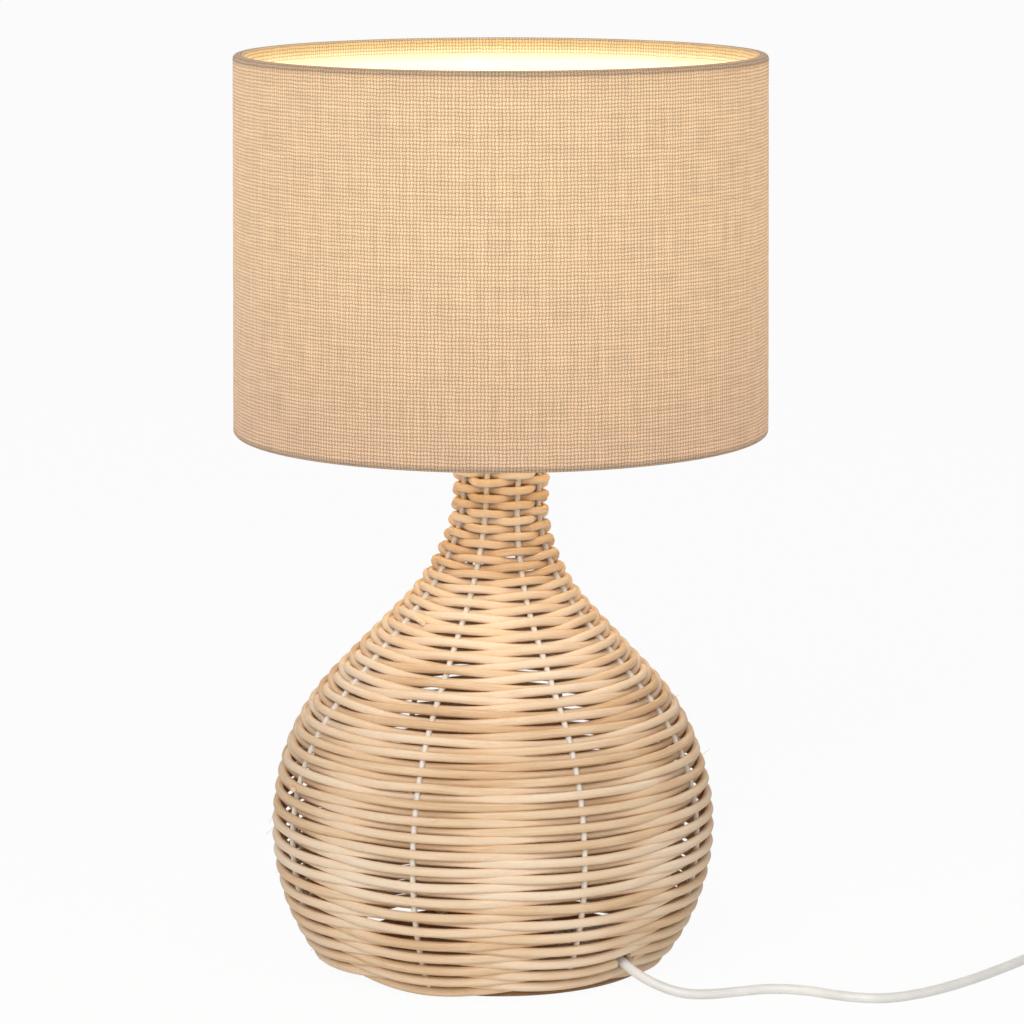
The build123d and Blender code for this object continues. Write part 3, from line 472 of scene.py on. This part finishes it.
# offset is how far the strands pass in front of and behind the rods, by height.
# Each band has the height it goes up to, and its strands' radius.
weave = {"pitch": 4.4, "first": 4.0, "topGap": 2.4, "perRod": 18, "endGap": 0.004,
         "seamRod": 4, "seamShare": 0.05,
         "offset": ((0, 2.9), (60, 3.0), (120, 2.9), (200, 2.7), (240, 3.2), (295, 3.7)),
         "wander": 0.22, "wanderPoints": 25, "seed": 41,
         "cordRoom": 6.0, "cordReach": 16.0, "cordWay": (0.6288, -0.6983, -0.342), "leastPoints": 4,
         "sides": 10, "unevenness": 0.16, "lump": 14.0,
         "bands": (("footWeave", "foot_weave", 45.0, 2.65), ("bellyWeave", "belly_weave", 128.0, 2.5),
                   ("shoulderWeave", "shoulder_weave", 214.0, 2.45),
                   ("neckWeave", "neck_weave", 400.0, 2.35))}


def bodyProfile():
    # foot, small bend, belly, straight shoulder, hollow flare, neck: points, and the length up to each
    slope = math.radians(body["slope"])
    bellyC = np.array([body["bellyR"] - body["bellyArc"], body["bellyZ"]])
    reach = body["bellyArc"] - body["footBend"]
    bendZ = body["footZ"] + body["footBend"]
    bendC = np.array([bellyC[0] + math.sqrt(reach ** 2 - (bendZ - bellyC[1]) ** 2), bendZ])
    footAngle = math.atan2(bendC[1] - bellyC[1], bendC[0] - bellyC[0])
    lean = np.array([math.cos(slope), math.sin(slope)])
    bellyEnd = bellyC + lean * body["bellyArc"]
    flareX = body["neckR"] + body["flareArc"]
    flareC = np.array([flareX, (bellyEnd @ lean + body["flareArc"] - flareX * lean[0]) / lean[1]])
    pieces = [np.array([[bendC[0] - body["footReach"], body["footZ"]], [bendC[0], body["footZ"]]])]
    for centre, radius, low, high in ((bendC, body["footBend"], -math.pi / 2, footAngle),
                                      (bellyC, body["bellyArc"], footAngle, slope),
                                      (flareC, body["flareArc"], math.pi + slope, math.pi)):
        turns = np.linspace(low, high, body["arcPoints"])
        pieces.append(centre + radius * np.stack([np.cos(turns), np.sin(turns)], 1))
    pieces.append(np.array([[body["neckR"], body["neckTop"]]]))
    points = np.concatenate(pieces)
    keep = np.concatenate([[True], np.linalg.norm(np.diff(points, axis=0), axis=1) > 1e-6])
    points = points[keep]
    drawn = np.clip((points[:, 1] - body["trimFrom"]) / body["trimOver"], 0, 1)
    points[:, 0] -= body["trim"] * drawn * drawn * (3 - 2 * drawn)   # the strands draw the neck in a little
    lengths = np.concatenate([[0], np.cumsum(np.linalg.norm(np.diff(points, axis=0), axis=1))])
    return points, lengths


profilePoints, profileLengths = bodyProfile()


def profileAt(length):
    # the point at a length along the profile, and the way out from there
    steps = (length - 0.5, length, length + 0.5)
    behind, spot, ahead = np.stack([np.interp(steps, profileLengths, line) for line in profilePoints.T], 1)
    way = (ahead - behind) / np.linalg.norm(ahead - behind)
    return spot, np.array([way[1], -way[0]])


def leaned(points):
    # the woven body stands a few millimetres to the left of its neck
    moved = points.copy()
    moved[:, 0] += np.interp(points[:, 2], *zip(*body["lean"]))
    return moved * mm


def clearOfCord(points):
    # strands end short of the cord where it comes out
    away = points - np.array(leadRoute[0]) * mm
    way = np.array(weave["cordWay"])
    along = away @ way
    side = np.linalg.norm(away - np.outer(along, way), axis=1)
    return (side > weave["cordRoom"] * mm) | (np.abs(along) > weave["cordReach"] * mm)


def strandRows():
    draw = np.random.default_rng(weave["seed"])
    start = body["footReach"] + weave["first"]
    count = int((profileLengths[-1] - weave["topGap"] - start) / weave["pitch"]) + 1
    steps = body["rods"] * weave["perRod"]
    found = []
    for k in range(count):
        spot, normal = profileAt(start + k * weave["pitch"])
        seam = weave["seamRod"] + (k + 1) % 2 + weave["seamShare"]          # the ends meet at the back
        shares = np.linspace(weave["endGap"], body["rods"] - weave["endGap"], steps) + seam
        bends = draw.normal(0, 1, weave["wanderPoints"]) * weave["wander"]
        sway = np.interp(np.arange(steps), np.linspace(0, steps, len(bends)), bends)
        push = np.interp(spot[1], *zip(*weave["offset"])) * np.cos(math.pi * (shares + k))
        lift = (-normal[1], normal[0])
        radius = spot[0] + normal[0] * push + lift[0] * sway
        height = spot[1] + normal[1] * push + lift[1] * sway
        turn = np.radians(body["rodTurn"] + shares * 360 / body["rods"])
        points = leaned(np.stack([radius * np.sin(turn), -radius * np.cos(turn), height], 1))
        shade = float(draw.random())
        clear = clearOfCord(points)
        runs = np.split(np.arange(steps), np.where(np.diff(clear.astype(int)) != 0)[0] + 1)
        found.append((spot[1], [(points[run], shade) for run in runs
                                if clear[run[0]] and len(run) >= weave["leastPoints"]]))
    return found


rows = strandRows()
low = 0.0
for pieceName, nodeName, top, thick in weave["bands"]:
    lines = [line for z, strands in rows if low <= z < top for line in strands]
    tubePiece(pieceName, lines, "rattanCore", [nodeName], {**weave, "radius": thick})
    low = top


def rodLines():
    lines = []
    r, z = profilePoints[:, 0], profilePoints[:, 1]
    for n in range(body["rods"]):
        turn = math.radians(body["rodTurn"] + n * 360 / body["rods"])
        lines.append((leaned(np.stack([r * math.sin(turn), -r * math.cos(turn), z], 1)), n / body["rods"]))
    return lines


tubePiece("frameRods", rodLines(), "whitePaintedRod", [f"frame_rod_{n + 1}" for n in range(body["rods"])],
          rodTube)

# loose fibres and a few cut strand ends, as a basket maker leaves them
fibreSet = {"count": 150, "length": (4.0, 12.0), "lift": (0.15, 0.6), "fall": 0.25, "root": 1.96, "points": 6,
            "seed": 77, "bareTopRows": 24, "radius": 0.1, "sides": 5, "unevenness": 0.3, "lump": 4.0}
endSet = {"count": 4, "length": 9.0, "share": (0.6, 1.1), "lift": 0.3, "root": 2.2, "points": 5,
          "seed": 78, "bareTopRows": 4, "radius": 1.5, "sides": 10, "unevenness": 0.2, "lump": 8.0}


def strandSpot(points, n):
    # a point on a strand, the strand's way there, and the way out from the lamp's middle
    root = points[n]
    way = (points[n + 2] - points[n - 2]) / np.linalg.norm(points[n + 2] - points[n - 2])
    return root, way, np.array([root[0], root[1], 0]) / np.hypot(root[0], root[1])


def looseFibres():
    draw = np.random.default_rng(fibreSet["seed"])
    t = np.linspace(0, 1, fibreSet["points"])[:, None]
    lines = []
    for _ in range(fibreSet["count"]):
        strands = rows[int(draw.integers(1, len(rows) - fibreSet["bareTopRows"]))][1]
        points, shade = strands[int(draw.integers(0, len(strands)))]
        root, way, out = strandSpot(points, int(draw.integers(2, len(points) - 4)))
        length = draw.uniform(*fibreSet["length"]) * mm
        lift = draw.uniform(*fibreSet["lift"])
        fall = draw.normal(0, fibreSet["fall"])
        bent = root + out * fibreSet["root"] * mm + way * length * t + out * length * lift * t ** 2
        lines.append((bent + np.array([0, 0, 1]) * length * fall * t ** 2, shade))
    return lines


def strandEnds():
    draw = np.random.default_rng(endSet["seed"])
    t = np.linspace(0, 1, endSet["points"])[:, None]
    lines = []
    for _ in range(endSet["count"]):
        points, shade = rows[int(draw.integers(2, len(rows) - endSet["bareTopRows"]))][1][0]
        root, way, out = strandSpot(points, int(draw.integers(3, len(points) - 8)))
        length = endSet["length"] * draw.uniform(*endSet["share"]) * mm
        tip = way * length + out * length * endSet["lift"]
        lines.append((root + out * endSet["root"] * mm + tip * t, shade))
    return lines


tubePiece("rattanFibres", looseFibres(), "rattanCore", [], fibreSet)
tubePiece("rattanEnds", strandEnds(), "rattanCore", [], endSet)

# shade cloth: one sheet, round the outside and folded over both wire rings to the inside
shadeSet = {"bottomR": 150.0, "topR": 148.0, "low": 303.4, "height": 211.0,
            "fold": 6.4, "hem": 9.0, "bend": 2.3, "skin": 0.05,
            "columns": 288, "wallRows": 40, "bendSteps": 7, "meanR": 149.0,
            "ripple": 0.04, "waves": 8, "waveCounts": (3, 40), "waveStart": 6.28, "waveTwist": 0.01,
            "outside": 1.0, "inside": 5.2, "glowOutside": 0.94, "glowInside": (0.97, 1.0), "seed": 5}


def shadeOutline():
    # insets and heights, from the hem inside the bottom edge, up the outside, to the hem inside the top edge
    bend, skin, fold = shadeSet["bend"], shadeSet["skin"], shadeSet["fold"]
    bottom = [(fold, shadeSet["hem"]), (fold, shadeSet["hem"] / 2)]
    for centre, low, high in ((fold - bend, 0, -90), (skin + bend, -90, -180)):
        for turn in np.radians(np.linspace(low, high, shadeSet["bendSteps"])):
            bottom.append((centre + bend * math.cos(turn), skin + bend + bend * math.sin(turn)))
    top = [(inset, shadeSet["height"] - z) for inset, z in reversed(bottom)]
    wall = [(skin, z) for z in np.linspace(bottom[-1][1], top[0][1], shadeSet["wallRows"])[1:-1]]
    return bottom + wall + top


def shadeCloth():
    outline = shadeOutline()
    columns = shadeSet["columns"]
    draw = np.random.default_rng(shadeSet["seed"])
    waves = [(int(n), draw.normal(0, 1), draw.uniform(0, shadeSet["waveStart"]))
             for n in draw.integers(*shadeSet["waveCounts"], shadeSet["waves"])]
    runs = np.concatenate([[0], np.cumsum(np.linalg.norm(np.diff(np.array(outline), axis=0), axis=1))])
    height = shadeSet["height"]
    dim, bright = shadeSet["glowInside"]
    verts, share = [], []
    for inset, z in outline:
        edge = shadeSet["bottomR"] + (shadeSet["topR"] - shadeSet["bottomR"]) * z / height
        # heightShare sets the painted glow: rising with height up the outside, and over the hems inside from
        # the rim inward
        if inset > shadeSet["inside"]:
            glow = dim + (bright - dim) * min(z, height - z) / shadeSet["hem"]
        else:
            glow = shadeSet["glowOutside"] * z / height
        for c in range(columns):
            turn = 2 * math.pi * c / columns
            ripple = sum(a * math.sin(n * turn + p + z * shadeSet["waveTwist"] * n) for n, a, p in waves)
            r = edge - inset + min(ripple, 0.0) * shadeSet["ripple"] * (inset < shadeSet["outside"])
            verts.append((r * math.sin(turn) * mm, r * math.cos(turn) * mm, (shadeSet["low"] + z) * mm))
            share.append(glow)
    faces, uvs = [], []
    for row in range(len(outline) - 1):
        low, high = runs[row] * mm, runs[row + 1] * mm
        under, over = row * columns, (row + 1) * columns
        for c in range(columns):
            n = (c + 1) % columns
            faces.append((under + c, over + c, over + n, under + n))
            left, right = (2 * math.pi * shadeSet["meanR"] * mm * k / columns for k in (c, c + 1))
            uvs += [(left, low), (left, high), (right, high), (right, low)]
    mesh = bpy.data.meshes.new("shadeCloth")
    mesh.from_pydata(verts, [], faces)
    layer = mesh.attributes.new("heightShare", "FLOAT", "POINT")
    layer.data.foreach_set("value", np.array(share, np.float32))
    layer = mesh.uv_layers.new(name="cloth")
    layer.data.foreach_set("uv", np.array(uvs, np.float32).ravel())
    mesh.polygons.foreach_set("use_smooth", [True] * len(faces))
    mesh.materials.append(made["paintedGlowLinen"])
    piece = bpy.data.objects.new("shadeCloth", mesh)
    scene.collection.objects.link(piece)
    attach(piece, "shade")
    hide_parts("shade_fabric")
    print("shadeCloth", len(faces), "faces")


shadeCloth()

# CAD pieces that stay: each takes its finish
nodeFinish = {
    "needledFelt": ["felt_pad"],
    "brownPaintedSteel": ["base_plate", "neck_plate"],
    "nylonGrip": ["cord_grip_base", "cord_grip_bridge"],
    "zincPlate": ["cord_grip_screws", "threaded_nipple", "nipple_washer", "nipple_nut", "switch_screws"],
    "holderThermoplastic": ["holder_cap", "holder_body", "shade_ring_nut"],
    "glazedSteatite": ["holder_insert"],
    "stampedBrass": ["thread_sleeve", "centre_contact", "terminal_screws", "switch_contacts"],
    "bareCopper": ["core_wires"],
    "cordVinyl": ["inner_cord"],
    "rolledAluminium": ["bulb_cap"],
    "solderedTin": ["bulb_contact"],
    "bulbHousing": ["bulb_collar"],
    "opalDiffuser": ["bulb_globe"],
    "liningFilm": ["shade_liner"],
    "powderCoatedWire": ["shade_top_ring", "shade_bottom_ring", "shade_arms", "fitter_ring"],
    "switchPolycarbonate": ["switch_base", "switch_cover"],
    "rockerPolycarbonate": ["switch_rocker"],
    "nylonTie": ["coil_tie"],
    "plugVinyl": ["plug_body"],
    "nickelPlate": ["plug_pins"],
}
for finish, names in nodeFinish.items():
    for name in names:
        mesh = nodes[name].data
        mesh.materials.clear()
        mesh.materials.append(made[finish])
print("finishes on", sum(len(v) for v in nodeFinish.values()), "nodes")

# floor, white surroundings and soft studio light
stageSet = {"floor": 60.0, "floorTone": "#f4f3f1", "seenWhite": 0.95, "worldLight": 0.3,
            "key": {"place": (-0.7, -2.7, 1.9), "size": 1.8, "power": 62.0},
            "fill": {"place": (1.9, -1.6, 1.5), "size": 2.2, "power": 10.0}, "aim": (0, 0, 0.26)}


def backdropMix(tree, lit, white, share):
    # what is seen is white, what lights the lamp is softer, and the floor keeps some of its shadow
    ray = addNode(tree, "ShaderNodeLightPath").outputs
    seen = ray["Is Camera Ray"]
    for other in (ray["Is Glossy Ray"], ray["Is Transmission Ray"]):
        seen = addNode(tree, "ShaderNodeMath", {0: seen, 1: other}, operation="MAXIMUM").outputs[0]
    seen = addNode(tree, "ShaderNodeMath", {0: seen, 1: share}, operation="MULTIPLY").outputs[0]
    return addNode(tree, "ShaderNodeMixShader", {0: seen, 1: lit, 2: white}).outputs[0]


def makeStage():
    material = bpy.data.materials.new("paleFloor")
    material.use_nodes = True
    tree = material.node_tree
    tree.nodes.clear()
    matt = addNode(tree, "ShaderNodeBsdfDiffuse", {"Color": colour(stageSet["floorTone"])}).outputs[0]
    white = addNode(tree, "ShaderNodeEmission", {"Color": (1, 1, 1, 1), "Strength": 1.0}).outputs[0]
    surface = backdropMix(tree, matt, white, stageSet["seenWhite"])
    addNode(tree, "ShaderNodeOutputMaterial", {"Surface": surface})
    half = stageSet["floor"]
    mesh = bpy.data.meshes.new("studioFloor")
    corners = [(-half, -half, 0), (half, -half, 0), (half, half, 0), (-half, half, 0)]
    mesh.from_pydata(corners, [], [(0, 1, 2, 3)])
    mesh.materials.append(material)
    floor = bpy.data.objects.new("studioFloor", mesh)
    scene.collection.objects.link(floor)
    world = bpy.data.worlds.new("studioWorld")
    scene.world = world
    world.use_nodes = True
    tree = world.node_tree
    tree.nodes.clear()
    soft = addNode(tree, "ShaderNodeBackground",
                   {"Color": (1, 1, 1, 1), "Strength": stageSet["worldLight"]}).outputs[0]
    white = addNode(tree, "ShaderNodeBackground", {"Color": (1, 1, 1, 1), "Strength": 1.0}).outputs[0]
    addNode(tree, "ShaderNodeOutputWorld", {"Surface": backdropMix(tree, soft, white, 1.0)})
    for name in ("key", "fill"):
        look = stageSet[name]
        data = bpy.data.lights.new(name + "Light", "AREA")
        data.size = look["size"]
        data.energy = look["power"]
        lamp = bpy.data.objects.new(name + "Light", data)
        lamp.location = look["place"]
        x, y, z = np.array(stageSet["aim"]) - np.array(look["place"])
        lamp.rotation_euler = (math.atan2(math.hypot(x, y), -z), 0, math.atan2(-x, y))
        scene.collection.objects.link(lamp)


makeStage()
print("stage set")
